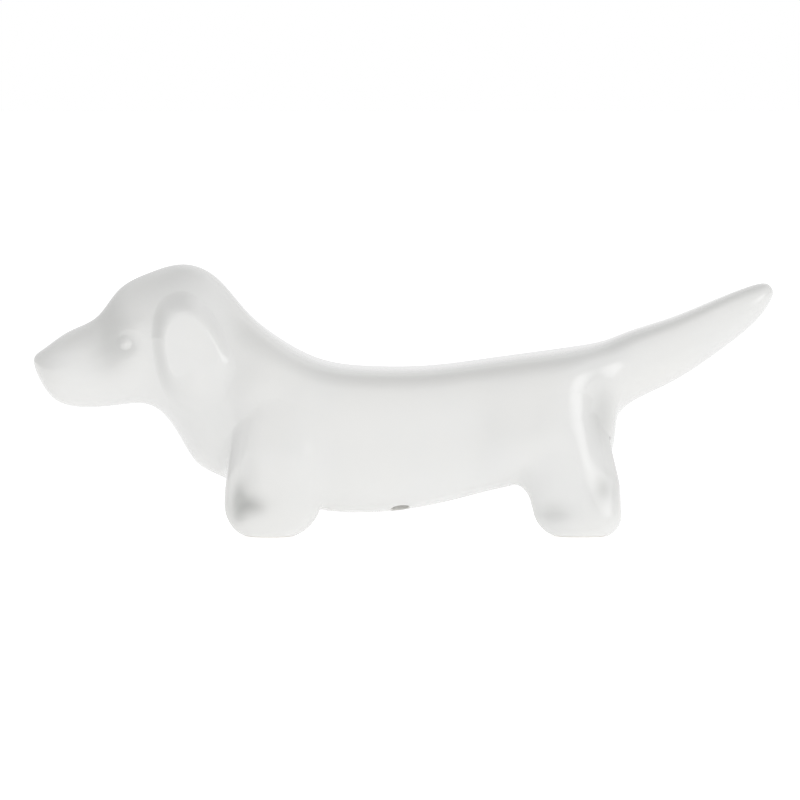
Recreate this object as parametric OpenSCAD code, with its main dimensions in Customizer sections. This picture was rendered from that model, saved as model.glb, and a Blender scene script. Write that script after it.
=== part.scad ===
// Cutlery rest in the form of a standing dachshund, of glazed porcelain.
// The hollow of the back carries a knife and a fork; four flat soles stand on the table.
// The nose points to -X and the table is the plane Z = 0. But for the vent hole, which is left of the middle
// of the belly, the figure is the same on both sides of Y = 0.
// All sizes are in millimetres.

/* [Lengths along the dog] */
// From the tip of the nose to the crown
head_length = 20.3; // [17:0.1:24]
// From the crown to the withers
neck_length = 18.7; // [16:0.1:23]
// From the withers to the croup, which is the room for the cutlery
back_length = 38.5; // [34:0.5:48]
// From the croup to the tip of the tail
tail_length = 22.5; // [19:0.1:28]

/* [Heights above the table] */
// Tip of the nose
nose_height = 23.1; // [21:0.1:25]
// Underside of the jaw
jaw_height = 16.8; // [15:0.1:18]
// Crown of the head
crown_height = 36.2; // [34:0.1:40]
// Withers, where the neck runs into the back
withers_height = 23.15; // [22:0.05:25]
// Lowest place of the back
saddle_height = 22.2; // [20:0.1:23]
// Croup, above the hind legs
croup_height = 25.85; // [25:0.05:28]
// Top of the tail near its tip
tail_height = 33.4; // [31:0.1:38]
// Breastbone, just before the front legs
brisket_height = 7.1; // [6:0.1:9]
// Lowest place of the belly
belly_height = 2.7; // [2:0.1:5]
// Belly just before the hind legs
groin_height = 6.2; // [5:0.1:8]
// Underside of the tail root
rump_height = 15.9; // [14:0.1:18]

/* [Widths] */
// Muzzle behind the nose
muzzle_width = 10; // [8:0.1:12]
// Skull at the crown
skull_width = 15.6; // [13:0.1:18]
// Neck
neck_width = 16.6; // [14:0.1:19]
// Trunk behind the front legs
chest_width = 20.4; // [18:0.1:24]
// Trunk at its slimmest
loin_width = 19.6; // [17:0.1:23]
// Trunk at the hips
hip_width = 19.8; // [17:0.1:23]
// Tail at the rump
tail_root_width = 11.8; // [9:0.1:13]
// Tail at the middle of its length
tail_width = 7.4; // [6:0.1:9]

/* [Shell] */
// Thickness of the cast wall of torso and head
wall = 2.8; // [2:0.1:3.6]
// Vent hole in the belly
vent_diameter = 2.4; // [1.5:0.1:4]
// From the withers back to the vent hole
vent_setback = 10.6; // [8:0.1:14]
// From the middle of the belly to the vent hole, on the dog's left
vent_offset = 5; // [0:0.1:6]
// Film of slip between a leg, an ear or an eye and the form that carries it
slip = 0.05; // [0.03:0.01:0.15]

/* [Front legs] */
// Between the middles of the two soles
front_stance = 15; // [13:0.1:17]
// From the withers forward to the middle of the sole
front_lead = 6.9; // [6:0.1:9]
// Length of the sole
front_sole_length = 5.8; // [5:0.1:8]
// Width of the sole
front_sole_width = 5; // [4.2:0.1:6.5]
// Length of the paw over its sole
front_paw_length = 12.3; // [11:0.1:14]
// Width of the paw over its sole
front_paw_width = 7; // [5.5:0.1:8]
// Height at which the paw is fully rounded
front_paw_height = 4.4; // [3:0.1:6]
// Depth of the hollow above the toes
front_instep = 0.9; // [0.3:0.1:1.2]

/* [Hind legs] */
// Between the middles of the two soles
hind_stance = 14.6; // [13:0.1:17]
// From the croup forward to the middle of the sole
hind_lead = 3.65; // [2:0.05:5]
// Length of the sole
hind_sole_length = 6.6; // [5.5:0.1:8]
// Width of the sole
hind_sole_width = 4.9; // [4.2:0.1:6.5]
// Length of the paw over its sole
hind_paw_length = 11.2; // [10:0.1:13]
// Width of the paw over its sole
hind_paw_width = 6.7; // [5.5:0.1:8]
// Height at which the paw is fully rounded
hind_paw_height = 3; // [2:0.1:5]
// Depth of the hollow above the toes
hind_instep = 0.7; // [0.2:0.1:1.4]
// Depth of the hollow before the heel
heel_hollow = 0.35; // [0.1:0.05:0.8]
// Depth of the valley down the rear of the leg
hock_hollow = 1.3; // [0.5:0.1:1.8]

/* [Ears] */
// Length of the flap
ear_length = 16.6; // [12:0.1:18]
// Width of the flap
ear_width = 10.4; // [7:0.1:11]
// Height of the flap over the head
ear_thickness = 0.7; // [0.5:0.05:1.6]
// Lean of the flap, with its lower end to the rear
ear_tilt = 18; // [5:1:30]
// Width of the slope from the face of the ear to the cheek and the neck
ear_slope = 2; // [1:0.1:3]
// Width of the slope at the upper end
ear_slope_top = 2.2; // [1:0.1:4]
// Width of the slope at the lower end
ear_slope_low = 4.4; // [2:0.1:5]

/* [Eyes] */
// Bead
eye_diameter = 2.2; // [1.6:0.1:2.8]
// Height of the bead over the floor of its socket
eye_relief = 0.4; // [0.3:0.05:1]

/* [Swellings and hollows of the sides] */
// Depth of the eye socket
socket_depth = 0.5; // [0.2:0.05:0.9]
// Height of the brow over the eye
brow_relief = 0.35; // [0.1:0.05:0.7]
// Depth of the hollow before the eye
stop_depth = 0.7; // [0.1:0.05:1]
// Height of the flews on the muzzle
flews_relief = 0.35; // [0.1:0.05:0.7]
// Height of the shoulder blade over the flank
blade_relief = 0.45; // [0.1:0.05:0.9]
// Height of the shoulder over the flank
shoulder_relief = 1.4; // [0.3:0.05:2]
// Height of the thigh over the flank
thigh_relief = 1.1; // [0.3:0.05:1.6]
// Depth of the hollow between thigh and tail
loin_depth = 0.8; // [0.1:0.05:1.2]

/* [Facets] */
// Around head, torso and tail
body_facets = 48; // [24:4:64]
// Around a leg
leg_facets = 36; // [16:4:48]
// Around an ear
ear_facets = 32; // [16:4:48]
// Around an eye
eye_facets = 16; // [8:4:32]

/* [Hidden] */
porcelain = [0.93, 0.93, 0.91];

// Places along the dog, with the middle of its length at X = 0.
nose_x = -(head_length + neck_length + back_length + tail_length) / 2;
crown_x = nose_x + head_length;
withers_x = crown_x + neck_length;
croup_x = withers_x + back_length;
tip_x = croup_x + tail_length;

// Value at a share of the way from a to b.
function at(a, b, share) = a + (b - a) * share;

// Stations from nose tip to tail tip: top x and z, bottom x and z, half width, squareness above and below.
// Each place lies between two landmarks of the dog.
stations = [
    [nose_x, nose_height, nose_x, nose_height, 0, 2, 2],
    [at(nose_x, crown_x, 0.074), at(nose_height, crown_height, 0.134),
        at(nose_x, crown_x, 0.062), at(nose_height, jaw_height, 0.524), muzzle_width * 0.333, 2.1, 2.1],
    [at(nose_x, crown_x, 0.236), at(nose_height, crown_height, 0.305),
        at(nose_x, crown_x, 0.182), at(nose_height, jaw_height, 0.905), muzzle_width * 0.5, 1.9, 2.2],
    [at(nose_x, crown_x, 0.424), at(nose_height, crown_height, 0.458),
        at(nose_x, crown_x, 0.369), jaw_height, at(muzzle_width, skull_width, 0.07) / 2, 1.7, 2.3],
    [at(nose_x, crown_x, 0.571), at(nose_height, crown_height, 0.74),
        at(nose_x, crown_x, 0.562), at(jaw_height, nose_height, 0.048), skull_width * 0.404, 1.6, 2.3],
    [at(nose_x, crown_x, 0.778), at(nose_height, crown_height, 0.916),
        at(nose_x, crown_x, 0.729), at(jaw_height, nose_height, 0.079), skull_width * 0.462, 1.65, 2.2],
    [crown_x, crown_height,
        at(nose_x, crown_x, 0.862), at(jaw_height, brisket_height, 0.082), skull_width * 0.5, 1.75, 2.2],
    [at(crown_x, withers_x, 0.241), at(crown_height, withers_height, 0.138),
        at(nose_x, crown_x, 0.975), at(jaw_height, brisket_height, 0.412), neck_width * 0.476, 1.9, 2.2],
    [at(crown_x, withers_x, 0.455), at(crown_height, withers_height, 0.483),
        at(crown_x, withers_x, 0.096), at(jaw_height, brisket_height, 0.773), neck_width * 0.5, 2.3, 2.2],
    [at(crown_x, withers_x, 0.69), at(crown_height, withers_height, 0.77),
        at(crown_x, withers_x, 0.316), brisket_height, chest_width * 0.451, 3, 2.5],
    [withers_x, withers_height,
        at(crown_x, withers_x, 0.706), at(brisket_height, belly_height, 0.659), chest_width * 0.49, 3.5, 2.8],
    [at(withers_x, croup_x, 0.182), saddle_height,
        at(withers_x, croup_x, 0.078), belly_height, chest_width * 0.5, 3.8, 2.8],
    [at(withers_x, croup_x, 0.377), at(saddle_height, croup_height, 0.027),
        at(withers_x, croup_x, 0.299), at(belly_height, groin_height, 0.114), loin_width * 0.51, 3.8, 2.8],
    [at(withers_x, croup_x, 0.571), at(saddle_height, croup_height, 0.274),
        at(withers_x, croup_x, 0.494), at(belly_height, groin_height, 0.543), loin_width * 0.5, 3.8, 2.8],
    [at(withers_x, croup_x, 0.753), at(saddle_height, croup_height, 0.534),
        at(withers_x, croup_x, 0.662), groin_height, hip_width * 0.5, 3.8, 2.8],
    [at(withers_x, croup_x, 0.896), at(saddle_height, croup_height, 0.753),
        at(withers_x, croup_x, 0.836), at(groin_height, rump_height, 0.113), hip_width * 0.485, 3.6, 2.6],
    [croup_x, croup_height,
        at(croup_x, tip_x, 0.031), at(groin_height, rump_height, 0.423), hip_width * 0.364, 3.2, 2.4],
    [at(croup_x, tip_x, 0.156), at(croup_height, tail_height, 0.179),
        at(croup_x, tip_x, 0.089), rump_height, tail_root_width * 0.5, 2.9, 2.3],
    [at(croup_x, tip_x, 0.4), at(croup_height, tail_height, 0.417),
        at(croup_x, tip_x, 0.356), at(rump_height, tail_height, 0.223),
        at(tail_root_width, tail_width, 0.5) / 2, 2.8, 2.2],
    [at(croup_x, tip_x, 0.667), at(croup_height, tail_height, 0.735),
        at(croup_x, tip_x, 0.644), at(rump_height, tail_height, 0.451), tail_width * 0.5, 2.7, 2.2],
    [at(croup_x, tip_x, 0.876), at(croup_height, tail_height, 0.974),
        at(croup_x, tip_x, 0.884), at(rump_height, tail_height, 0.697), tail_width * 0.35, 2.3, 2],
    [at(croup_x, tip_x, 0.969), tail_height,
        at(croup_x, tip_x, 0.987), at(rump_height, tail_height, 0.874), tail_width * 0.18, 2, 2],
    [tip_x, at(rump_height, tail_height, 0.949), tip_x, at(rump_height, tail_height, 0.949), 0, 2, 2]
];
last_station = len(stations) - 1;
// Stations of the neck joint and of the tail joint, and the two ends of the hollow inside.
neck_joint = 8.4;
tail_joint = 17;
hollow_front = 3.2;
hollow_rear = 15.75;
// Domed end of the hollow: its length in stations, then stations in from its end with the share of the
// section there.
dome_length = 1.1;
hollow_dome = [[0.15, 0.4], [0.4, 0.7], [0.75, 0.9]];

// Middle of the eye and of the ear in the side view.
eye_x = at(nose_x, crown_x, 0.626);
eye_z = at(jaw_height, crown_height, 0.469);
ear_x = at(crown_x, withers_x, 0.07);
ear_z = at(jaw_height, crown_height, 0.412);
// Roundness of the outline of ears and legs, and how much narrower the ear is at its upper end.
outline_power = 2 / 2.5;
ear_taper = 0.2;
// How far the face of the ear is flat instead of following the head.
ear_flatness = 0.85;

// Swellings and hollows of the sides: x, z, half length, half height, how far they stand out, and flatness.
eye_socket = [eye_x, eye_z, eye_diameter * 0.73, eye_diameter * 0.68, -socket_depth, 2];
brow = [eye_x + eye_diameter * 0.55, eye_z + eye_diameter * 1.05, eye_diameter * 0.91, eye_diameter * 0.55,
    brow_relief, 2];
stop = [eye_x - eye_diameter, eye_z - eye_diameter * 0.18, eye_diameter * 1.05, eye_diameter * 1.55,
    -stop_depth, 2];
flews = [at(nose_x, crown_x, 0.374), at(jaw_height, nose_height, 0.571), head_length * 0.128,
    (nose_height - jaw_height) * 0.54, flews_relief, 2];
shoulder_blade = [at(crown_x, withers_x, 0.529), at(brisket_height, withers_height, 0.822),
    neck_length * 0.15, neck_length * 0.139, blade_relief, 2];
shoulder = [at(crown_x, withers_x, 0.663), at(brisket_height, withers_height, 0.181), neck_length * 0.267,
    neck_length * 0.337, shoulder_relief, 4];
thigh = [at(withers_x, croup_x, 0.748), at(groin_height, croup_height, 0.244), back_length * 0.171,
    back_length * 0.195, thigh_relief, 4];
loin_hollow = [at(withers_x, croup_x, 0.977), at(groin_height, croup_height, 0.522), back_length * 0.042,
    back_length * 0.104, -loin_depth, 2];
reliefs = [eye_socket, brow, stop, flews, shoulder_blade, shoulder, thigh, loin_hollow];

// A leg is [middle and reach of its joint in stations; x and y of the middle of the sole; half length and
// half width of the sole; the same of the paw; height of the paw; lean of the middle and growth of the half
// length per millimetre of height; hollows]. A hollow is [x, z, half length, half height, depth].
front_sole_x = withers_x - front_lead;
front_leg = [
    [9.8, 1.2],
    [front_sole_x, front_stance / 2],
    [front_sole_length / 2, front_sole_width / 2],
    [front_paw_length / 2, front_paw_width / 2],
    front_paw_height,
    [0.11, 0.09],
    [
        [front_sole_x - front_paw_length * 0.341, front_paw_height * 1.36, front_paw_length * 0.081,
            front_paw_height * 0.43, front_instep * 0.89],
        [front_sole_x - front_paw_length * 0.244, front_paw_height * 1.05, front_paw_length * 0.171,
            front_paw_height * 0.3, front_instep],
        [front_sole_x - front_paw_length * 0.358, front_paw_height * 0.73, front_paw_length * 0.089,
            front_paw_height * 0.27, front_instep * 0.56]
    ]
];
hind_sole_x = croup_x - hind_lead;
hind_leg = [
    [14.9, 1.15],
    [hind_sole_x, hind_stance / 2],
    [hind_sole_length / 2, hind_sole_width / 2],
    [hind_paw_length / 2, hind_paw_width / 2],
    hind_paw_height,
    [-0.15, 0.1],
    [
        [hind_sole_x - hind_paw_length * 0.375, hind_paw_height * 1.2, hind_paw_length * 0.205,
            hind_paw_height * 0.5, hind_instep],
        [hind_sole_x + hind_paw_length * 0.348, hind_paw_height * 3.83, hind_paw_length * 0.179,
            hind_paw_height * 1.67, hock_hollow],
        [hind_sole_x + hind_paw_length * 0.33, hind_paw_height * 2.27, hind_paw_length * 0.116,
            hind_paw_height * 0.63, heel_hollow]
    ]
];
// Angle down from the flank to the middle of a leg's joint, its spread to either side, how far the ring of
// the joint has shrunk at the height of the sole, and the share of the leg below which it is a plain pillar.
joint_angle = -37;
joint_spread = 46;
joint_shrink = 0.7;
free_share = 0.45;
// Softness of the step from the leg to the flank, and height of the leg's thin rim over the flank.
fillet = 0.5;
rim = 0.5;
// Length of the cast leg below its sole that is ground off.
spare = 1;

// Power that keeps the sign.
function signed_power(v, e) = sign(v) * pow(abs(v), e);

// Control points of the smooth closed curve through points p: each pass adds what the curve still misses.
function closed_curve(p, c, passes) = passes == 0 ? c : let (n = len(p))
    closed_curve(p, [for (i = [0:n - 1])
        c[i] + 1.5 * (p[i] - (c[(i + n - 1) % n] + 4 * c[i] + c[(i + 1) % n]) / 6)], passes - 1);

// Point on a cubic of four control points at share f of the way.
function blend(a, b, c, d, f) =
    ((1 - f) ^ 3 * a + (3 * f ^ 3 - 6 * f ^ 2 + 4) * b
        + (1 + 3 * f + 3 * f ^ 2 - 3 * f ^ 3) * c + f ^ 3 * d) / 6;

function on_closed(c, t) = let (n = len(c), i = floor(t))
    blend(c[(i + n - 1) % n], c[i % n], c[(i + 1) % n], c[(i + 2) % n], t - i);

// The outline of the side view as one closed curve: over the back to the tail tip, and back under the belly.
// Each point also carries half width and squareness; the half width changes sign at the two tips.
outline = [
    for (s = stations) [s[0], s[1], s[4], s[5]],
    for (i = [last_station - 1:-1:1]) [stations[i][2], stations[i][3], -stations[i][4], stations[i][6]]
];
outline_curve = closed_curve(outline, outline, 16);

// Section at station t: its middle, its half height from there to the top, its half width and its squareness
// above and below.
function section(t) = let (
        top = on_closed(outline_curve, t),
        bottom = on_closed(outline_curve, len(outline) - t),
        middle = [top[0] + bottom[0], top[1] + bottom[1]] / 2,
        half = [top[0] - bottom[0], top[1] - bottom[1]] / 2)
    [middle, half, top[2], top[3], bottom[3]];

// Height of the reliefs over the side at a side-view point.
function relief(x, z) = let (
        heights = [for (r = reliefs)
            r[4] * exp(-pow(abs((x - r[0]) / r[2]), r[5]) - ((z - r[1]) / r[3]) ^ 2)])
    heights * [for (h = heights) 1];

// Point of a section at angle a from the flank (90 is the top), grown by an offset and scaled by a share.
function section_point(s, a, grow, share) = let (
        tall = norm(s[1]),
        power = 2 / (sin(a) > 0 ? s[3] : s[4]),
        v = signed_power(sin(a), power) * (tall + grow) / tall * share,
        x = s[0][0] + s[1][0] * v,
        z = s[0][1] + s[1][1] * v,
        lift = grow < 0 ? 0 : relief(x, z) * signed_power(cos(a), 0.5))
    [x, (s[2] + grow) * share * signed_power(cos(a), power) + lift, z];

function skin(t, a, grow) = section_point(section(t), a, grow, 1);

function skin_ring(t, grow, share) = let (s = section(t))
    [for (j = [0:body_facets - 1]) section_point(s, 360 * j / body_facets, grow, share)];

function section_middle(t) = let (s = section(t)) [s[0][0], 0, s[0][1]];

// Station whose section runs through a side-view point, by halving.
function station_at(x, z, low, high, passes) = let (
        m = (low + high) / 2,
        s = section(m),
        behind = s[1][0] * (z - s[0][1]) - s[1][1] * (x - s[0][0]) < 0)
    passes == 0 ? m : station_at(x, z, behind ? m : low, behind ? high : m, passes - 1);

// Half width of the figure at a side-view point.
function flank(x, z, grow) = let (
        s = section(station_at(x, z, 0.1, last_station - 0.1, 20)),
        v = ([x, z] - s[0]) * s[1] / (s[1] * s[1]),
        a = asin(signed_power(max(min(v, 1), -1), (v > 0 ? s[3] : s[4]) / 2)))
    section_point(s, a, grow, 1)[1];

// Numbers from a to b in n equal steps.
function steps(a, b, n) = [for (i = [0:n]) a + (b - a) * i / n];

// Closed solid from rings of points, with one point before the first ring and one after the last.
module ring_solid(first, rings, last) {
    n = len(rings[0]);
    r = len(rings);
    end = r * n + 1;
    polyhedron(
        points = [first, for (ring = rings) each ring, last],
        faces = [
            for (j = [0:n - 1]) [0, 1 + j, 1 + (j + 1) % n],
            for (i = [0:r - 2], j = [0:n - 1]) let (
                    a = 1 + i * n + j,
                    b = 1 + i * n + (j + 1) % n)
                each [[a, b + n, b], [a, a + n, b + n]],
            for (j = [0:n - 1]) [end, end - n + (j + 1) % n, end - n + j]
        ],
        convexity = 8);
}

// Hollow trunk with saddle-shaped back, open at the neck joint and pierced by the vent hole.
module torso() {
    hollow = concat(
        [for (k = hollow_dome) skin_ring(hollow_rear - k[0], -wall, k[1])],
        [for (t = steps(hollow_rear - dome_length, neck_joint, 10)) skin_ring(t, -wall, 1)]);
    outside = [for (t = steps(neck_joint, tail_joint, 34)) skin_ring(t, 0, 1)];
    color(porcelain)
    difference() {
        ring_solid(section_middle(hollow_rear), concat(hollow, outside), section_middle(tail_joint));
        translate([withers_x + vent_setback, -vent_offset, 0])
            cylinder(d = vent_diameter, h = belly_height + 2 * wall, $fn = 48);
    }
}

// Hollow head with muzzle, brow and neck, open at the neck joint.
module head() {
    outside = [for (t = concat([0.08, 0.2, 0.36, 0.55, 0.77], steps(1, neck_joint, 29))) skin_ring(t, 0, 1)];
    hollow = concat(
        [for (t = steps(neck_joint, hollow_front + dome_length, 7)) skin_ring(t, -wall, 1)],
        [for (i = [2:-1:0]) skin_ring(hollow_front + hollow_dome[i][0], -wall, hollow_dome[i][1])]);
    color(porcelain)
    ring_solid(section_middle(0), concat(outside, hollow), section_middle(hollow_front));
}

// Solid upturned tail.
module tail() {
    rings = [for (t = concat(steps(tail_joint, 20.75, 12), [21.1, 21.4, 21.65, 21.85])) skin_ring(t, 0, 1)];
    color(porcelain)
    ring_solid(section_middle(tail_joint), rings, section_middle(last_station));
}

// Point of a leg's joint on the trunk in direction p, at a share of the way from its middle to its edge.
function joint_point(leg, p, share) = let (
        t = leg[0][0] + leg[0][1] * share * signed_power(cos(p), outline_power),
        a = joint_angle + joint_spread * share * signed_power(sin(p), outline_power))
    skin(t, a, slip);

// Point of the plain pillar of a leg in direction p at height z.
function pillar_point(leg, p, z) = let (
        rounded = pow(1 - (1 - max(min(z / leg[4], 1), 0)) ^ 2, 0.6),
        half_x = at(leg[2][0], leg[3][0], rounded) + leg[5][1] * z,
        half_y = at(leg[2][1], leg[3][1], rounded))
    [leg[1][0] + leg[5][0] * z + half_x * signed_power(cos(p), outline_power),
        leg[1][1] + half_y * signed_power(sin(p), outline_power), z];

// Depth of a leg's hollows at a side-view point.
function hollow_depth(leg, x, z) = let (
        depths = [for (h = leg[6]) h[4] * exp(-((x - h[0]) / h[2]) ^ 2 - ((z - h[1]) / h[3]) ^ 2)])
    depths * [for (d = depths) 1];

// Point of a leg in direction p at share s from the sole to the joint. The pillar fades into the rings of the
// joint, is pressed in by its hollows and keeps over the flank.
function leg_point(leg, p, s) = let (
        f = max((s - free_share) / (1 - free_share), 0),
        fade = 3 * f ^ 2 - 2 * f ^ 3,
        pillar = pillar_point(leg, p, s * joint_point(leg, p, 1)[2]),
        q = at(pillar, joint_point(leg, p, 1 - joint_shrink * (1 - s)), fade),
        side = flank(q[0], q[2], slip),
        over = q[1] - hollow_depth(leg, q[0], q[2]) * sqrt(max(sin(p), 0)) - side,
        step = norm([over, fillet * (1 - fade)]))
    [q[0], side + (over + step) / 2 + rim * sqrt(1 - s) * fade, q[2]];

// Leg of the +Y side: a paw with a sole ground flat, rising into the trunk.
module leg_right(leg) {
    angles = [for (j = [0:leg_facets - 1]) 360 * j / leg_facets];
    shares = [0.02, 0.05, 0.09, 0.14, 0.2, 0.27, 0.35, 0.44, 0.53, 0.62, 0.71, 0.8, 0.88, 0.95];
    difference() {
        ring_solid(
            [leg[1][0], leg[1][1], -spare],
            concat(
                [for (z = [-spare, 0]) [for (p = angles) pillar_point(leg, p, z)]],
                [for (s = shares) [for (p = angles) leg_point(leg, p, s)]],
                [for (share = [1, 0.88, 0.75, 0.6, 0.4, 0.2]) [for (p = angles) joint_point(leg, p, share)]]),
            skin(leg[0][0], joint_angle, slip));
        translate([leg[1][0] - 2 * leg[3][0], leg[1][1] - 2 * leg[3][1], -2 * spare])
            cube([4 * leg[3][0], 4 * leg[3][1], 2 * spare]);
    }
}

module front_right_leg() {
    color(porcelain)
    leg_right(front_leg);
}

module front_left_leg() {
    color(porcelain)
    mirror([0, 1, 0])
        leg_right(front_leg);
}

module hind_right_leg() {
    color(porcelain)
    leg_right(hind_leg);
}

module hind_left_leg() {
    color(porcelain)
    mirror([0, 1, 0])
        leg_right(hind_leg);
}

// Side-view place of the ear at share r from its middle to its edge in direction p.
function ear_place(r, p) = let (
        along = signed_power(sin(p), outline_power),
        v = r * ear_length / 2 * along,
        u = r * ear_width / 2 * signed_power(cos(p), outline_power) * (1 - ear_taper * along))
    [ear_x + u * cos(ear_tilt) - v * sin(ear_tilt), ear_z + u * sin(ear_tilt) + v * cos(ear_tilt)];

// Point of the ear at share r in direction p, raised over the head or, where not raised, lying on it.
function ear_point(r, p, raised) = let (
        q = ear_place(r, p),
        side = flank(q[0], q[1], slip),
        slope = at(ear_slope, sin(p) > 0 ? ear_slope_top : ear_slope_low, sin(p) ^ 2),
        d = min((1 - r) * ear_width / 2 / slope, 1),
        face = ear_thickness + ear_flatness * (flank(ear_x, ear_z, slip) - side))
    [q[0], side + (raised ? face * (3 * d ^ 2 - 2 * d ^ 3) : 0), q[1]];

// Drooping flap of the +Y side, laid on the head.
module ear_right() {
    angles = [for (j = [0:ear_facets - 1]) 360 * j / ear_facets];
    middle = flank(ear_x, ear_z, slip);
    ring_solid(
        [ear_x, middle + ear_thickness, ear_z],
        concat(
            [for (r = [0.2, 0.4, 0.55, 0.66, 0.76, 0.86, 0.94]) [for (p = angles) ear_point(r, p, true)]],
            [for (r = [1, 0.8, 0.6, 0.4, 0.2]) [for (p = angles) ear_point(r, p, false)]]),
        [ear_x, middle, ear_z]);
}

module right_ear() {
    color(porcelain)
    ear_right();
}

module left_ear() {
    color(porcelain)
    mirror([0, 1, 0])
        ear_right();
}

// Ring of the eye at share r, raised over the socket by a share of its relief.
function eye_ring(r, share) = [for (j = [0:eye_facets - 1]) let (
        x = eye_x + eye_diameter / 2 * r * cos(360 * j / eye_facets),
        z = eye_z + eye_diameter / 2 * r * sin(360 * j / eye_facets))
    [x, flank(x, z, slip) + eye_relief * share, z]];

// Bead of the +Y side in the socket of the head.
module eye_right() {
    ring_solid(
        [eye_x, flank(eye_x, eye_z, slip) + eye_relief, eye_z],
        concat(
            [for (r = [0.25, 0.5, 0.7, 0.87]) eye_ring(r, (1 - r ^ 2) ^ 2)],
            [for (r = [1, 0.5]) eye_ring(r, 0)]),
        [eye_x, flank(eye_x, eye_z, slip), eye_z]);
}

module right_eye() {
    color(porcelain)
    eye_right();
}

module left_eye() {
    color(porcelain)
    mirror([0, 1, 0])
        eye_right();
}

torso();
head();
tail();
left_ear();
right_ear();
left_eye();
right_eye();
front_left_leg();
front_right_leg();
hind_left_leg();
hind_right_leg();
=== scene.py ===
import math
import bpy
import numpy as np
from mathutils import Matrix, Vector


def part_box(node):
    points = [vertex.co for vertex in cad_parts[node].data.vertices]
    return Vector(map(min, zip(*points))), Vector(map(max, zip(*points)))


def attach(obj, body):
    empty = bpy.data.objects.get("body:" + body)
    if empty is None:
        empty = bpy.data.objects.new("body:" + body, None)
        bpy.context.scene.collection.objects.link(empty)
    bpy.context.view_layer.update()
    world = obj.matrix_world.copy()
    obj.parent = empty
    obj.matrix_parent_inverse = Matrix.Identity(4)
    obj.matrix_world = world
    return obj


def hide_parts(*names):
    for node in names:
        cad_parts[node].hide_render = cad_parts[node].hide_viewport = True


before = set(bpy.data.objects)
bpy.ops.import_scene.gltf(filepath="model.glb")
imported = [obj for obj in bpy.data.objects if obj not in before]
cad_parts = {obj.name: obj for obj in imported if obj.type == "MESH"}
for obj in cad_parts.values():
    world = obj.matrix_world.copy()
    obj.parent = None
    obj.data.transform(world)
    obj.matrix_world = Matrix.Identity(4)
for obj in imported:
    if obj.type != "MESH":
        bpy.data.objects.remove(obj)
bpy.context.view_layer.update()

# Torso. A slip-cast porcelain shell with a long saddle-shaped back. It is open at the neck, where the head
# is stuck on with slip, and the hole that vents the hollow stays in the belly, left of the middle. Lengths
# in this file are in millimetres until a mesh is made.
MM = 0.001


def corners(node):
    """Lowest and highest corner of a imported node."""
    low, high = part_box(node)
    return np.array(low) / MM, np.array(high) / MM


# Places along the dog, heights above the table and half widths.
nose_x = corners("head")[0][0]
tip_x = corners("tail")[1][0]
crown_x = nose_x + 20.3
withers_x = crown_x + 18.7
croup_x = tip_x - 22.5
crown_z = corners("head")[1][2]
tail_z = corners("tail")[1][2]
belly_z = corners("torso")[0][2]
nose_z = 23.1
jaw_z = 16.8
withers_z = 23.15
saddle_z = 22.2
croup_z = 25.85
brisket_z = 7.1
groin_z = 6.2
rump_z = 15.9
half_muzzle = 5.0
half_skull = 7.8
half_neck = 8.3
half_chest = 10.2
half_loin = 9.8
half_hip = 9.9
half_root = 5.9
half_tail = 3.7

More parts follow.
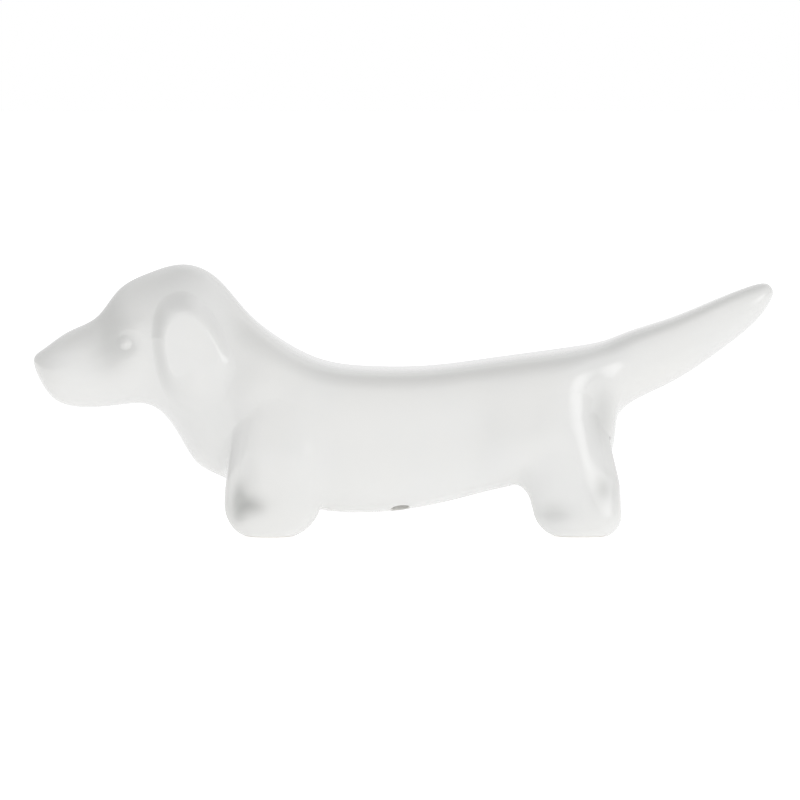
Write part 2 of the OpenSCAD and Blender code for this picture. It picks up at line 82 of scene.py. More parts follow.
# Stations from nose tip to tail tip: top x and z, bottom x and z, half width, squareness above and below.
stations = np.array([
    [nose_x, nose_z, nose_x, nose_z, 0, 2, 2],
    [nose_x + 1.5, nose_z + 1.75, nose_x + 1.25, nose_z - 3.3, half_muzzle * 2 / 3, 2.1, 2.1],
    [nose_x + 4.8, nose_z + 4.0, nose_x + 3.7, jaw_z + 0.6, half_muzzle, 1.9, 2.2],
    [nose_x + 8.6, nose_z + 6.0, nose_x + 7.5, jaw_z, half_muzzle + 0.2, 1.7, 2.3],
    [crown_x - 8.7, crown_z - 3.4, crown_x - 8.9, jaw_z + 0.3, half_skull - 1.5, 1.6, 2.3],
    [crown_x - 4.5, crown_z - 1.1, crown_x - 5.5, jaw_z + 0.5, half_skull - 0.6, 1.65, 2.2],
    [crown_x, crown_z, crown_x - 2.8, jaw_z - 0.8, half_skull, 1.75, 2.2],
    [crown_x + 4.5, crown_z - 1.8, crown_x - 0.5, jaw_z - 4.0, half_neck - 0.4, 1.8, 2.2],
    [crown_x + 8.5, crown_z - 6.3, crown_x + 1.8, brisket_z + 2.2, half_neck, 2.25, 2.2],
    [withers_x - 5.8, withers_z + 3.0, withers_x - 12.8, brisket_z, half_chest - 1, 3.6, 2.5],
    [withers_x, withers_z, withers_x - 5.5, belly_z + 1.5, half_chest - 0.2, 4.1, 2.8],
    [withers_x + 7, saddle_z, withers_x + 3, belly_z, half_chest, 4.3, 2.8],
    [withers_x + 14.5, saddle_z + 0.1, withers_x + 11.5, belly_z + 0.4, half_loin + 0.2, 4.3, 2.8],
    [croup_x - 16.5, saddle_z + 1, croup_x - 19.5, groin_z - 1.6, half_loin, 4.3, 2.8],
    [croup_x - 9.5, croup_z - 1.7, croup_x - 13, groin_z, half_hip, 4.3, 2.8],
    [croup_x - 4, croup_z - 0.9, croup_x - 6.3, groin_z + 1.1, half_hip - 0.3, 4.0, 2.6],
    [croup_x, croup_z, croup_x + 0.4, rump_z - 5.6, half_hip - 2.7, 3.6, 2.4],
    [croup_x + 3.5, croup_z + 1.35, croup_x + 1.7, rump_z, half_root, 3.4, 2.3],
    [croup_x + 9, croup_z + 3.15, croup_x + 8, rump_z + 3.9, (half_root + half_tail) / 2, 3.4, 2.2],
    [tip_x - 7.5, tail_z - 2.0, tip_x - 8, tail_z - 9.6, half_tail, 3.2, 2.2],
    [tip_x - 2.8, tail_z - 0.2, tip_x - 2.6, tail_z - 5.3, half_tail * 0.7, 2.3, 2],
    [tip_x - 0.7, tail_z, tip_x - 0.3, tail_z - 2.2, half_tail * 0.36, 2, 2],
    [tip_x, tail_z - 0.9, tip_x, tail_z - 0.9, 0, 2, 2],
])
last_station = len(stations) - 1

# The joints and the end of the hollow are given as station numbers.
neck_joint = 8.4
tail_joint = 17.0
dome_start = 14.6
dome_length = 1.15
wall = 2.8

# Swellings and hollows of the sides: x, z, half length, half height, how far they stand out, and flatness.
eye_x = crown_x - 7.6
eye_z = crown_z - 10.3
eye_socket = (eye_x, eye_z, 1.6, 1.5, -0.5, 2)
brow = (eye_x + 1.2, eye_z + 2.3, 2.0, 1.2, 0.35, 2)
stop = (eye_x - 2.2, eye_z - 0.4, 2.3, 3.4, -0.7, 2)
furrow = (eye_x - 2.0, eye_z + 4.0, 2.2, 2.6, -0.35, 2)
flews = (nose_x + 7.6, jaw_z + 3.6, 2.6, 3.4, 0.35, 2)
shoulder_blade = (withers_x - 8.8, saddle_z - 1.9, 2.8, 2.6, 0.45, 2)
shoulder = (withers_x - 6.3, brisket_z + 2.9, 5.0, 6.3, 1.4, 4)
thigh = (croup_x - 9.7, groin_z + 4.8, 6.6, 7.5, 1.1, 4)
loin_hollow = (croup_x - 0.9, croup_z - 9.4, 1.6, 4.0, -0.8, 2)
reliefs = [eye_socket, brow, stop, furrow, flews, shoulder_blade, shoulder, thigh, loin_hollow]
relief_fade = 0.5

# Painted shade in hollows and creases: how much of the full shade each millimetre of depth paints, and the
# mark of the raw inside.
painted_shade_per_depth = 0.6
full_painted_shade = 1.0
raw_inside = 2.0


def closed_curve(points):
    """Control points of the smooth closed cubic through the points: their Fourier terms over the cubic's."""
    turn = 2 * np.pi * np.arange(len(points)) / len(points)
    share = (4 + 2 * np.cos(turn)) / 6
    return np.real(np.fft.ifft(np.fft.fft(points, axis=0) / share[:, None], axis=0))


def weights(f):
    """The four weights of a uniform cubic at share f of a span."""
    return (1 - f) ** 3 / 6, (3 * f**3 - 6 * f**2 + 4) / 6, (1 + 3 * f + 3 * f**2 - 3 * f**3) / 6, f**3 / 6


def on_closed(controls, t):
    """Point at t on a closed cubic, with t = 0 at its first point and one span for each step of 1."""
    span = np.floor(t).astype(int)
    parts = weights((t - span)[..., None])
    return sum(part * controls[(span + k - 1) % len(controls)] for k, part in enumerate(parts))


# The side outline as one closed curve, over the back to the tail tip and back under the belly. Half width and
# squareness ride along; the half width changes sign at the two tips.
under = stations[-2:0:-1]
outline = closed_curve(np.concatenate([
    stations[:, [0, 1, 4, 5]],
    under[:, [2, 3, 4, 6]] * [1, 1, -1, 1],
]))


def signed_power(v, e):
    """Power of the size of v that keeps its sign."""
    return np.sign(v) * np.abs(v) ** e


def bell(x, z, x0, z0, half_x, half_z, flatness=2):
    """Bell over a side-view place: exp(-|dx|^flatness - dz^2), with the distances from its middle in half
    lengths and half heights."""
    return np.exp(-np.abs((x - x0) / half_x) ** flatness - ((z - z0) / half_z) ** 2)


def section(t):
    """Middle, half height from there to the top, half width, and squareness above and below, of the section
    at station t."""
    top = on_closed(outline, t)
    bottom = on_closed(outline, len(outline) - t)
    return (top + bottom)[..., :2] / 2, (top - bottom)[..., :2] / 2, top[..., 2], top[..., 3], bottom[..., 3]


def skin(t, a, grow=0.0, share=1.0):
    """Point of the nose-to-tail form at station t and angle a, which is 0 on the right flank and a quarter
    turn on the back: a superellipse across the section, grown by an offset and scaled by a share. The
    reliefs raise the outer skin, fading towards back and belly."""
    middle, half, half_width, above, below = section(t)
    squareness = np.where(np.sin(a) > 0, above, below)
    tall = np.linalg.norm(half, axis=-1)
    up = signed_power(np.sin(a), 2 / squareness) * (tall + grow) / tall * share
    x = middle[..., 0] + half[..., 0] * up
    z = middle[..., 1] + half[..., 1] * up
    lift = 0
    for *place, height, flatness in reliefs:
        lift += height * bell(x, z, *place, flatness)
    out = (half_width + grow) * share * signed_power(np.cos(a), 2 / squareness)
    return np.stack([x, out + (grow >= 0) * lift * signed_power(np.cos(a), relief_fade), z], -1)


def section_middle(t):
    """Middle of the section at station t, in the plane between left and right."""
    x, z = section(np.array(float(t)))[0]
    return np.array([x, 0, z])


def painted_shade_in_hollows(points):
    """How much painted shade darkens points of the skin: the depth of the hollows there, times a share."""
    depth = 0
    for *place, height, flatness in reliefs:
        depth += max(-height, 0) * bell(points[..., 0], points[..., 2], *place, flatness)
    return np.clip(depth * painted_shade_per_depth, 0, full_painted_shade)


def row_faces(rows, columns):
    """Quads of a grid of rows that close on themselves."""
    i, j = np.meshgrid(np.arange(rows - 1), np.arange(columns), indexing="ij")
    k = (j + 1) % columns
    quads = np.stack([i * columns + j, i * columns + k, (i + 1) * columns + k, (i + 1) * columns + j], -1)
    return quads.reshape(-1, 4)


def end_faces(pole, row, columns, at_start):
    """Triangles from a pole to the row that starts at vertex row."""
    j = np.arange(columns)
    k = (j + 1) % columns
    ends = [np.full(columns, pole), row + k, row + j]
    return np.stack(ends if at_start else [ends[0], ends[2], ends[1]], -1)


def put(name, node, points, faces, painted_shade, sharp_rows, columns, left=False):
    """Makes the piece that stands for a node: points in millimetres, faces, how much painted shade darkens
    each point or the mark of the raw inside, and the rows whose edges stay sharp. A left piece is the mirror
    image of what is given."""
    points = points * ([1, -1, 1] if left else [1, 1, 1]) * MM
    mesh = bpy.data.meshes.new(name)
    mesh.from_pydata(points, [], [f[::-1] if left else f for f in faces])
    mesh.shade_smooth()
    painted_shade_values = np.clip(painted_shade, 0, raw_inside).astype(np.float32)
    mesh.attributes.new("painted_shade", "FLOAT", "POINT").data.foreach_set("value", painted_shade_values)
    ends = np.empty(len(mesh.edges) * 2, int)
    mesh.edges.foreach_get("vertices", ends)
    first_row, second_row = (ends.reshape(-1, 2) // columns).T
    sharp = (first_row == second_row) & np.isin(first_row, sharp_rows)
    mesh.edges.foreach_set("use_edge_sharp", sharp)
    piece = bpy.data.objects.new(name, mesh)
    bpy.context.scene.collection.objects.link(piece)
    mesh.materials.append(glaze)
    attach(piece, "root")
    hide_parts(node)


class Wire:
    """An output of a node, with arithmetic that adds Math nodes to its tree."""

    def __init__(self, tree, socket=None):
        self.tree = tree
        self.socket = socket

    def node(self, kind, settings, inputs, output=0):
        """Adds a node of a kind, sets its settings first, then sets or links its inputs, and wires one of its
        outputs."""
        made = self.tree.nodes.new("ShaderNode" + kind)
        for key, value in settings.items():
            setattr(made, key, value)
        for key, value in inputs.items():
            if isinstance(value, Wire):
                self.tree.links.new(value.socket, made.inputs[key])
            else:
                made.inputs[key].default_value = value
        return Wire(self.tree, made.outputs[output])

    def math(self, operation, a, b):
        """Adds the Math node of an operation on two values."""
        return self.node("Math", {"operation": operation}, {0: a, 1: b})

    def __add__(self, other):
        return self.math("ADD", self, other)

    def __sub__(self, other):
        return self.math("SUBTRACT", self, other)

    def __rsub__(self, other):
        return self.math("SUBTRACT", other, self)

    def __mul__(self, other):
        return self.math("MULTIPLY", self, other)

    def __pow__(self, other):
        return self.math("POWER", self, other)

    def between(self, low, high):
        """0 below low, 1 above high and a straight rise from one to the other."""
        return self.node("MapRange", {}, {"Value": self, "From Min": low, "From Max": high})

    def mix(self, first, second):
        """Colour between two, with this as the factor."""
        return self.node("Mix", {"data_type": "RGBA"}, {0: self, 6: first, 7: second}, 2)


# Colours of the porcelain, and its finish with lengths in metres: the ragged edge of the glaze at the soles,
# the gloss and its haze, and the waves, pits and sand of the surface.
warm_white = (0.845, 0.843, 0.826, 1)
cool_white = (0.83, 0.832, 0.822, 1)
# Painted shade: the grey that hollows and creases are painted with.
painted_shade_grey = (0.56, 0.565, 0.55, 1)
# The raw clay of the inside, painted darker for the shade in the hollow and the vent.
raw_clay_and_shade = (0.6, 0.59, 0.56, 1)
ground_sole = (0.76, 0.73, 0.67, 1)
bare_below = 0.00002
glazed_above = 0.00016
edge_wander = 0.0001
gloss_rough = 0.1
haze_rough = 0.06
sole_rough = 0.6
coat_rough = 0.05
glass_ior = 1.5
pit_share = 0.12
sand_share = 0.5
wave_height = 0.0003
wave_strength = 0.35


def porcelain_glaze():
    """White porcelain under a clear gloss glaze. Hollows and creases get a painted shade, cooler and greyer,
    and the raw inside is painted darker for the shade in it; clouds of a warmer white drift over the glaze;
    its skin is faintly wavy. The ground soles are bare, matt and a little sandy."""
    material = bpy.data.materials.new("porcelain_glaze")
    material.use_nodes = True
    tree = material.node_tree
    shader = tree.nodes["Principled BSDF"]
    base = Wire(tree)
    place = base.node("TexCoord", {}, {}, "Object")
    height = base.node("SeparateXYZ", {}, {"Vector": place}, 2)

    def noise(scale, detail=2.0):
        """Noise with so many waves to the metre, on the piece's own coordinates."""
        return base.node("TexNoise", {}, {"Vector": place, "Scale": scale, "Detail": detail})

    # The painted shade attribute: grey painted into hollows and creases, and the darker raw clay inside.
    painted_shade = base.node("Attribute", {"attribute_name": "painted_shade"}, {}, "Fac")
    ragged = height + (noise(900.0) - 0.5) * edge_wander
    bare = 1 - ragged.between(bare_below, glazed_above)
    cloud = noise(70.0, 3.0).between(0.35, 0.65)
    white = cloud.mix(warm_white, cool_white)
    shaded_white = painted_shade.between(0.0, full_painted_shade).mix(white, painted_shade_grey)
    raw = painted_shade.between(full_painted_shade, raw_inside).mix(shaded_white, raw_clay_and_shade)
    colour = bare.mix(raw, ground_sole)
    rough = noise(260.0).between(0.3, 0.7) * haze_rough + gloss_rough + bare * sole_rough
    wavy = noise(160.0) + noise(700.0, 1.0) * pit_share + noise(5000.0) * bare * sand_share
    bump = base.node("Bump", {}, {"Strength": wave_strength, "Distance": wave_height, "Height": wavy})
    shader.inputs["IOR"].default_value = glass_ior
    shader.inputs["Coat Roughness"].default_value = coat_rough
    shader.inputs["Coat IOR"].default_value = glass_ior
    feeds = {"Base Color": colour, "Roughness": rough, "Coat Weight": 1 - bare, "Normal": bump}
    for socket, wire in feeds.items():
        tree.links.new(wire.socket, shader.inputs[socket])
    return material


glaze = porcelain_glaze()

# The shell runs in rows from the dome that ends the hollow, forward along the inner wall to the neck's rim,
# and back over the outer skin to the tail joint.
columns = 168
around = 2 * np.pi * np.arange(columns) / columns
rows_apart = 0.05
dome_row_count = 9
dome_share = np.sin(np.linspace(0.15, 1.42, dome_row_count))
outer_t = np.arange(neck_joint, tail_joint + rows_apart / 2, rows_apart)
inner_t = outer_t[round((dome_start - neck_joint) / rows_apart)::-1]
dome_t = dome_start + dome_length * np.sqrt(1 - dome_share**2)
shell = np.concatenate([
    skin(dome_t[:, None], around[None], -wall, dome_share[:, None]),
    skin(inner_t[:, None], around[None], -wall),
    skin(outer_t[:, None], around[None]),
])
first_outer = len(dome_t) + len(inner_t)
dome_pole = section_middle(dome_start + dome_length)
tail_pole = section_middle(tail_joint)
shell_faces = row_faces(len(shell), columns)

# The vent: a window is left out of both walls, and rings run from its edge over a round lip through the hole.
vent_x = withers_x + 10.6
vent_y = -5.0
vent_radius = 1.2
vent_lip = 0.25
vent_window = 2.3
vent_station = 12.0
station_length = 8
fitting_steps = 12


def underside(x, y):
    """Height of the belly at a place in plan: angle and station are corrected in turn until both fit."""
    t = np.full_like(x, vent_station)
    for _ in range(fitting_steps):
        half_width, _, below = section(t)[2:]
        a = -np.arccos(signed_power(y / half_width, below / 2))
        t = t + (x - skin(t, a)[..., 0]) / station_length
    return skin(t, a)[..., 2]


# Rows and columns of the window, and the vertices along its edge in both walls.
belly = shell[first_outer:]
belly_column = 3 * columns // 4
vent_rows = np.flatnonzero(np.abs(belly[:, belly_column, 0] - vent_x) < vent_window)
vent_row = belly[vent_rows[len(vent_rows) // 2]]
vent_columns = np.flatnonzero((np.sin(around) < 0) & (np.abs(vent_row[:, 1] - vent_y) < vent_window))
r0, r1 = vent_rows[[0, -1]]
c0, c1 = vent_columns[[0, -1]]
edge_rows = np.concatenate([
    np.full(c1 - c0, r0),
    np.arange(r0, r1),
    np.full(c1 - c0, r1),
    np.arange(r1, r0, -1),
])
edge_columns = np.concatenate([
    np.arange(c0, c1),
    np.full(r1 - r0, c1),
    np.arange(c1, c0, -1),
    np.full(r1 - r0, c0),
])
outer_edge = (first_outer + edge_rows) * columns + edge_columns
inner_edge = (first_outer - 1 - edge_rows) * columns + edge_columns
edge_points = shell.reshape(-1, 3)[outer_edge]
inner_points = shell.reshape(-1, 3)[inner_edge]

# Rings along the spokes from the window's edge to the mouth, over the lip, up the hole and to the inner wall.
spoke = np.arctan2(edge_points[:, 1] - vent_y, edge_points[:, 0] - vent_x)
spokes = np.stack([np.cos(spoke), np.sin(spoke)], -1)
spoke_count = len(spoke)
vent_middle = np.array([vent_x, vent_y])
mouth = vent_middle + (vent_radius + vent_lip) * spokes
rings = []
for share in (0.3, 0.6, 0.85, 1.0):
    plan = edge_points[:, :2] * (1 - share) + mouth * share
    rings.append(np.column_stack([plan, underside(plan[:, 0], plan[:, 1])]))
mouth_z = rings[-1][:, 2]
glazed_rings = len(rings) + 1
for tilt in np.radians([18, 36, 54, 72, 90]):
    plan = vent_middle + (vent_radius + vent_lip * (1 - np.sin(tilt))) * spokes
    rings.append(np.column_stack([plan, mouth_z + vent_lip * (1 - np.cos(tilt))]))
top_ring = np.column_stack([rings[-1][:, :2], np.full(spoke_count, inner_points[:, 2].mean())])
rings += [rings[-1] * 0.5 + top_ring * 0.5, top_ring, top_ring * 0.5 + inner_points * 0.5]
rings = np.array(rings)

# The shell without its window, the rings in it, and the two ends.
cell_row, cell_column = np.divmod(np.arange(len(shell_faces)), columns)
in_columns = (cell_column >= c0) & (cell_column < c1)
in_outer = (cell_row >= first_outer + r0) & (cell_row < first_outer + r1)
in_inner = (cell_row >= first_outer - 1 - r1) & (cell_row < first_outer - 1 - r0)
shell_faces = shell_faces[~(in_columns & (in_outer | in_inner))]
first_ring = len(shell) * columns
first_pole = first_ring + len(rings) * spoke_count
ladder = np.concatenate([
    [outer_edge],
    np.arange(first_ring, first_pole).reshape(-1, spoke_count),
    [inner_edge],
])
ladder_next = np.roll(ladder, -1, 1)
vent_faces = np.stack([ladder[:-1], ladder_next[:-1], ladder_next[1:], ladder[1:]], -1).reshape(-1, 4)
torso_points = np.concatenate([shell.reshape(-1, 3), rings.reshape(-1, 3), [dome_pole, tail_pole]])
# The inside and the hole past the lip are marked raw, and so painted darker as shade.
torso_painted_shade = np.full(len(torso_points), raw_inside)
torso_painted_shade[first_outer * columns:first_ring] = painted_shade_in_hollows(belly).ravel()
torso_painted_shade[first_ring:first_ring + glazed_rings * spoke_count] = 0
torso_painted_shade[-1] = 0
torso_faces = [
    *shell_faces,
    *vent_faces,
    *end_faces(first_pole, 0, columns, True),
    *end_faces(first_pole + 1, first_ring - columns, columns, False),
]
torso_rims = [first_outer - 1, first_outer, len(shell) - 1]
put("torso_cast", "torso", torso_points, torso_faces, torso_painted_shade, torso_rims, columns)

# Head. A hollow cast of muzzle, brow, skull and neck, whose rim fits the torso's at the neck joint. The eye
# sockets are pressed into it and the brow stands out over them.
tip_t = np.array([0.02, 0.05, 0.09, 0.14, 0.2, 0.28, 0.37, 0.47, 0.58, 0.7, 0.85])
face_row_count = 190
hollow_row_count = 40
hollow_front = 4.2
hollow_length = 1.0


def put_rows(name, node, rows, poles, painted_shade, sharp_rows, left=False):
    """Puts a piece made of rows that close on themselves, with a pole at each end. The painted shade is given
    for the first rows, and the others have none."""
    count, columns = rows.shape[:2]
    end = count * columns
    points = np.concatenate([rows.reshape(-1, 3), poles])
    painted_shades = np.zeros(len(points))
    painted_shades[:painted_shade.size] = painted_shade.ravel()
    faces = [
        *row_faces(count, columns),
        *end_faces(end, 0, columns, True),
        *end_faces(end + 1, end - columns, columns, False),
    ]
    put(name, node, points, faces, painted_shades, sharp_rows, columns, left)


hollow_share = dome_share[::-1]
hollow_t = np.concatenate([
    np.linspace(neck_joint, hollow_front, hollow_row_count),
    hollow_front - hollow_length * np.sqrt(1 - hollow_share**2),
])
hollow_scale = np.concatenate([np.ones(hollow_row_count), hollow_share])
face_t = np.concatenate([tip_t, np.linspace(1, neck_joint, face_row_count)])
face = skin(face_t[:, None], around[None])
hollow = skin(hollow_t[:, None], around[None], -wall, hollow_scale[:, None])
put_rows("head_cast", "head", np.concatenate([face, hollow]),
         [section_middle(0), section_middle(hollow_front - hollow_length)],
         painted_shade_in_hollows(face), [len(face) - 1, len(face)])

# Tail. A solid, thin, upturned cone, stuck to the rump and drawn out to a blunt tip.
tail_row_count = 90
tail_t = np.concatenate([
    np.linspace(tail_joint, last_station - 1, tail_row_count),
    last_station - tip_t[::-1],
])
tail = skin(tail_t[:, None], around[None])
put_rows("tail_cast", "tail", tail, [tail_pole, section_middle(last_station)], painted_shade_in_hollows(tail), [0])

# Legs. Four solid casts, short and thick, that run into the trunk with no step. Each paw is pressed in above
# the toes, and its sole is ground flat and left bare.
bedding = 0.004
inset = 0.3
fillet = 0.6
free_share = 0.45
joint_shrink = 0.7
joint_angle = -37
joint_spread = 46
joint_shares = (0.9, 0.75, 0.5, 0.25)
foot_power = 0.6
tip_margin = 0.1
halvings = 40
outline_power = 2 / 2.5
leg_row_count = 110
leg_columns = 120
leg_turn = 2 * np.pi * np.arange(leg_columns) / leg_columns
leg_along = signed_power(np.cos(leg_turn), outline_power)
leg_across = signed_power(np.sin(leg_turn), outline_power)
leg_outside = np.sqrt(np.clip(np.sin(leg_turn), 0, 1))


def joint_ring(joint, share):
    """Ring of a leg's joint on the trunk, at a share of the way from its middle to its edge. The joint is
    given as the station of its middle and its reach in stations."""
    middle, reach = joint
    angle = np.radians(joint_angle + joint_spread * share * leg_across)
    return skin(middle + reach * share * leg_along, angle)


def flank(x, z):
    """Half width of the figure at a side-view place: the station whose section runs through it, by halving,
    then the angle on that section."""
    low = np.full_like(x, tip_margin)
    high = np.full_like(x, last_station - tip_margin)
    for _ in range(halvings):
        t = (low + high) / 2
        middle, half = section(t)[:2]
        behind = half[..., 0] * (z - middle[..., 1]) - half[..., 1] * (x - middle[..., 0]) < 0
        low = np.where(behind, t, low)
        high = np.where(behind, high, t)
    middle, half, _, above, below = section(t)
    up = ((np.stack([x, z], -1) - middle) * half).sum(-1) / (half**2).sum(-1)
    squareness = np.where(up > 0, above, below)
    return skin(t, np.arcsin(signed_power(np.clip(up, -1, 1), squareness / 2)))[..., 1]


def leg_rows(joint, sole, half_sole, flare, paw_height, lean, spread, hollows):
    """Rows of a right leg from the sole, s = 0, to the joint, s = 1: a pillar with a rounded foot, faded into
    the rings of the joint, pressed in by the hollows of its outer side and kept over the trunk's skin by a
    soft step (over + sqrt(over^2 + fillet^2)) / 2. Also the painted shade of the hollows."""
    s = np.linspace(0, 1, leg_row_count)[:, None]
    z = s * joint_ring(joint, 1.0)[:, 2]
    rounded = (1 - (1 - np.clip(z / paw_height, 0, 1)) ** 2) ** foot_power
    x = sole[0] + lean * z + (half_sole[0] + flare[0] * rounded + spread * z) * leg_along
    y = sole[1] + (half_sole[1] + flare[1] * rounded) * leg_across
    fade = np.clip((s - free_share) / (1 - free_share), 0, 1)
    fade = (fade**2 * (3 - 2 * fade))[..., None]
    rows = np.stack([x, y, z], -1) * (1 - fade) + joint_ring(joint, 1 - joint_shrink * (1 - s)) * fade
    pressed = 0
    painted_shade = 0
    for *place, depth, painted_shade_share in hollows:
        reach = bell(rows[..., 0], rows[..., 2], *place) * leg_outside
        pressed += depth * reach
        painted_shade += painted_shade_share * reach
    rows[..., 1] -= pressed
    side = flank(rows[..., 0], rows[..., 2])
    over = rows[..., 1] - side
    rows[..., 1] = side + (over + np.hypot(over, fillet * (1 - fade[..., 0]))) / 2 - bedding * fade[..., 0]
    return rows, painted_shade


# Hollows of a leg's outer side: x, z, half length, half height, depth, and how much of the full painted shade
# they get.
front_sole_x = withers_x - 6.9
pastern = (front_sole_x - 4.2, 6.0, 1.0, 1.9, 0.8, 0.8)
instep = (front_sole_x - 3.0, 4.6, 2.1, 1.3, 0.9, 0.9)
toe_root = (front_sole_x - 4.4, 3.2, 1.1, 1.2, 0.5, 0.5)
foreleg_groove = (front_sole_x - 2.9, 8.2, 1.3, 3.4, 0.3, 0.2)
hind_sole_x = croup_x - 3.65
hind_toes = (hind_sole_x - 4.2, 3.6, 2.3, 1.5, 0.7, 0.35)
upper_valley = (hind_sole_x + 4.5, 13.8, 2.9, 3.6, 1.5, 0.0)
lower_valley = (hind_sole_x + 4.0, 10.0, 3.0, 4.4, 1.0, 0.0)
heel = (hind_sole_x + 3.0, 6.5, 1.4, 1.9, 0.1, 0.9)
joints = {"front": (9.8, 1.2), "hind": (14.9, 1.15)}
legs = {
    "front": leg_rows(
        joints["front"], sole=(front_sole_x, 7.5), half_sole=(2.9, 2.5), flare=(3.25, 1.0), paw_height=4.4,
        lean=0.11, spread=0.09, hollows=[pastern, instep, toe_root, foreleg_groove]),
    "hind": leg_rows(
        joints["hind"], sole=(hind_sole_x, 7.3), half_sole=(3.3, 2.45), flare=(2.3, 0.9), paw_height=3.0,
        lean=-0.15, spread=0.1, hollows=[hind_toes, upper_valley, lower_valley, heel]),
}
for pair, (rows, painted_shade) in legs.items():
    inside = np.array([joint_ring(joints[pair], share) for share in joint_shares]) - [0, inset, 0]
    leg_poles = [rows[0].mean(0), joint_ring(joints[pair], 0.0)[0] - [0, inset, 0]]
    leg_painted_shade = np.clip(painted_shade + painted_shade_in_hollows(rows), 0, full_painted_shade)
    for side in ("left", "right"):
        put_rows(f"{pair}_{side}_leg_cast", f"{pair}_{side}_leg", np.concatenate([rows, inside]), leg_poles,
                 leg_painted_shade, [0, len(rows) - 1], side == "left")

# Ears. Drooping flaps laid on the sides of the head and smoothed down with slip.
ear_x = crown_x + 1.3
ear_z = crown_z - 11.4
ear_half_length = 8.3
ear_half_width = 5.2
ear_tilt = math.radians(18)
ear_taper = 0.2
ear_thickness = 0.7
ear_flatness = 0.85
ear_slope = 2.0
ear_slope_top = 2.2
ear_slope_low = 4.4
ear_crease_shade = 0.25
ear_row_count = 60
ear_columns = 144
ear_turn = 2 * np.pi * np.arange(ear_columns) / ear_columns
ear_side = flank(np.array(ear_x), np.array(ear_z))


def ear_rows(shares, raised):
    """Rows of a right ear at shares of the way from its middle to its edge: a superellipse, narrower at the
    top and leaning, laid on the flank and raised with a soft slope at its edge, or else sunk under the skin.
    Also how much painted shade the crease at its front edge gets."""
    r = np.array(shares)[:, None]
    along = signed_power(np.sin(ear_turn), outline_power)
    v = r * ear_half_length * along
    u = r * ear_half_width * signed_power(np.cos(ear_turn), outline_power) * (1 - ear_taper * along)
    x = ear_x + u * math.cos(ear_tilt) - v * math.sin(ear_tilt)
    z = ear_z + u * math.sin(ear_tilt) + v * math.cos(ear_tilt)
    slope_end = np.where(np.sin(ear_turn) > 0, ear_slope_top, ear_slope_low)
    slope = ear_slope + (slope_end - ear_slope) * np.sin(ear_turn) ** 2
    d = np.clip((1 - r) * ear_half_width / slope, 0, 1)
    side = flank(x, z)
    face = ear_thickness + ear_flatness * (ear_side - side)
    rise = face * (3 * d**2 - 2 * d**3) - bedding
    crease = 4 * d * (1 - d) * np.clip(-np.cos(ear_turn), 0, 1)
    return np.stack([x, side + np.where(raised, rise, -inset), z], -1), crease


ear_top, ear_crease = ear_rows(np.linspace(0.02, 1, ear_row_count) ** 0.8, True)
ear_under = ear_rows([0.75, 0.5, 0.25], False)[0]
ear_poles = [[ear_x, ear_side + ear_thickness, ear_z], [ear_x, ear_side, ear_z]]
# The front crease of each ear is painted with shade.
for side in ("left", "right"):
    put_rows(f"{side}_ear_cast", f"{side}_ear", np.concatenate([ear_top, ear_under]), ear_poles,
             ear_crease * ear_crease_shade, [len(ear_top) - 1], side == "left")

# Eyes. Small beads of porcelain paste, set in the sockets under the same glaze.
eye_radius = 1.1
eye_relief = 0.4
eye_row_count = 20
eye_columns = 48
eye_turn = 2 * np.pi * np.arange(eye_columns) / eye_columns
eye_side = flank(np.array(eye_x), np.array(eye_z))


def eye_rows(shares, raised):
    """Rows of a right eye at shares of its radius: a low bead, (1 - r^2)^2, that runs out on the floor of the
    socket, or else that floor."""
    r = np.array(shares)[:, None]
    x = eye_x + eye_radius * r * np.cos(eye_turn)
    z = eye_z + eye_radius * r * np.sin(eye_turn)
    return np.stack([x, flank(x, z) + raised * eye_relief * (1 - r**2) ** 2 - bedding, z], -1)


# The socket's painted shade thins out towards the top of the bead.
eye_shares = np.sin(np.linspace(0.08, np.pi / 2, eye_row_count))
eye = np.concatenate([eye_rows(eye_shares, True), eye_rows([0.5], False)])
eye_painted_shade = painted_shade_in_hollows(eye) * (np.hypot(eye[..., 0] - eye_x, eye[..., 2] - eye_z) / eye_radius) ** 2
eye_poles = [[eye_x, eye_side + eye_relief, eye_z], [eye_x, eye_side, eye_z]]
for side in ("left", "right"):
    put_rows(f"{side}_eye_bead", f"{side}_eye", eye, eye_poles, eye_painted_shade, [eye_row_count - 1], side == "left")

# Table and light. A white table under a soft dome, bright at the horizon and dim overhead, with one soft
# window to the right of the camera. Camera rays see white. Reflections see a plainer dome with a dim
# ceiling, so that the glaze keeps the edge of the back in sight. The table's size is in metres.
table_half = 4
table_grey = (0.9, 0.9, 0.9, 1)
table_rough = 0.9
table_glow = 0.33
table_lift = 0.2
white_light = (1, 1, 1, 1)
table_mesh = bpy.data.meshes.new("table")
table_corners = [(-table_half, -table_half, 0), (table_half, -table_half, 0),
                 (table_half, table_half, 0), (-table_half, table_half, 0)]
table_mesh.from_pydata(table_corners, [], [(0, 1, 2, 3)])
table = bpy.data.objects.new("table", table_mesh)
bpy.context.scene.collection.objects.link(table)
table_white = bpy.data.materials.new("table_white")
table_white.use_nodes = True
table_shader = table_white.node_tree.nodes["Principled BSDF"]
table_shader.inputs["Base Color"].default_value = table_grey
table_shader.inputs["Roughness"].default_value = table_rough
table_shader.inputs["Specular IOR Level"].default_value = 0.0
table_shader.inputs["Emission Color"].default_value = white_light
table_seen = Wire(table_white.node_tree).node("LightPath", {}, {}, "Is Camera Ray")
table_light = table_seen * table_lift + table_glow
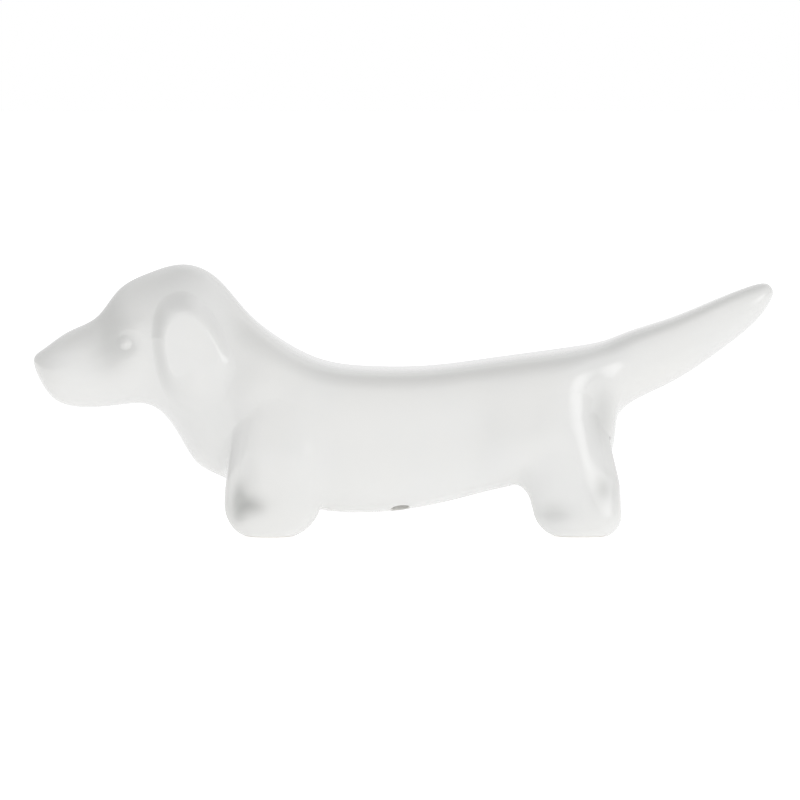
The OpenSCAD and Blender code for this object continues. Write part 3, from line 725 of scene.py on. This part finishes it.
table_white.node_tree.links.new(table_light.socket, table_shader.inputs["Emission Strength"])
table_mesh.materials.append(table_white)

world = bpy.data.worlds.new("studio")
bpy.context.scene.world = world
world.use_nodes = True
overhead_light = 0.665
horizon_gain = 0.82
mirrored_light = 0.88
ceiling_start = 0.74
ceiling_drop = 0.68
side_middle = 0.15
side_drop = 0.46
window_light = 1.4
window_way = Vector((0.72, -0.68, 0.2)).normalized()
window_edge = math.cos(math.radians(19))
sky = Wire(world.node_tree)
direction = sky.node("TexCoord", {}, {}, "Generated")
up = sky.node("SeparateXYZ", {}, {"Vector": direction}, 2).between(0.0, 1.0)
right = sky.node("SeparateXYZ", {}, {"Vector": direction}, 0)
towards = sky.node("VectorMath", {"operation": "DOT_PRODUCT"}, {0: direction, 1: window_way}, "Value")
window = towards.between(window_edge, 1.0)
camera_ray = sky.node("LightPath", {}, {}, "Is Camera Ray")
glossy_ray = sky.node("LightPath", {}, {}, "Is Glossy Ray")
lighting = (1 - up) ** 2.0 * horizon_gain + overhead_light
mirrored = mirrored_light - up.between(ceiling_start, 1.0) * ceiling_drop
level = lighting + glossy_ray * (mirrored - lighting)
dim = level * (1 - (right - side_middle) ** 2.0 * side_drop) + window * window_light
strength = camera_ray.mix(dim, white_light)
world.node_tree.links.new(strength.socket, world.node_tree.nodes["Background"].inputs["Color"])

# Camera. It looks at the dog's left side from a little above, far enough off for an almost flat view. Its
# lengths are in metres, but for the sensor's.
camera_distance = 0.7
camera_rise = math.radians(4)
view_width = 0.1084
camera_target = Vector((-0.0004, 0, 0.01777))
camera_data = bpy.data.cameras.new("camera")
camera_data.sensor_width = 36
camera_data.lens = camera_data.sensor_width * camera_distance / view_width
camera = bpy.data.objects.new("camera", camera_data)
away = Vector((0, -math.cos(camera_rise), math.sin(camera_rise)))
camera.location = camera_target + away * camera_distance
camera.rotation_euler = (-away).to_track_quat("-Z", "Y").to_euler()
bpy.context.scene.collection.objects.link(camera)
bpy.context.scene.camera = camera
bpy.context.scene.view_settings.view_transform = "Standard"
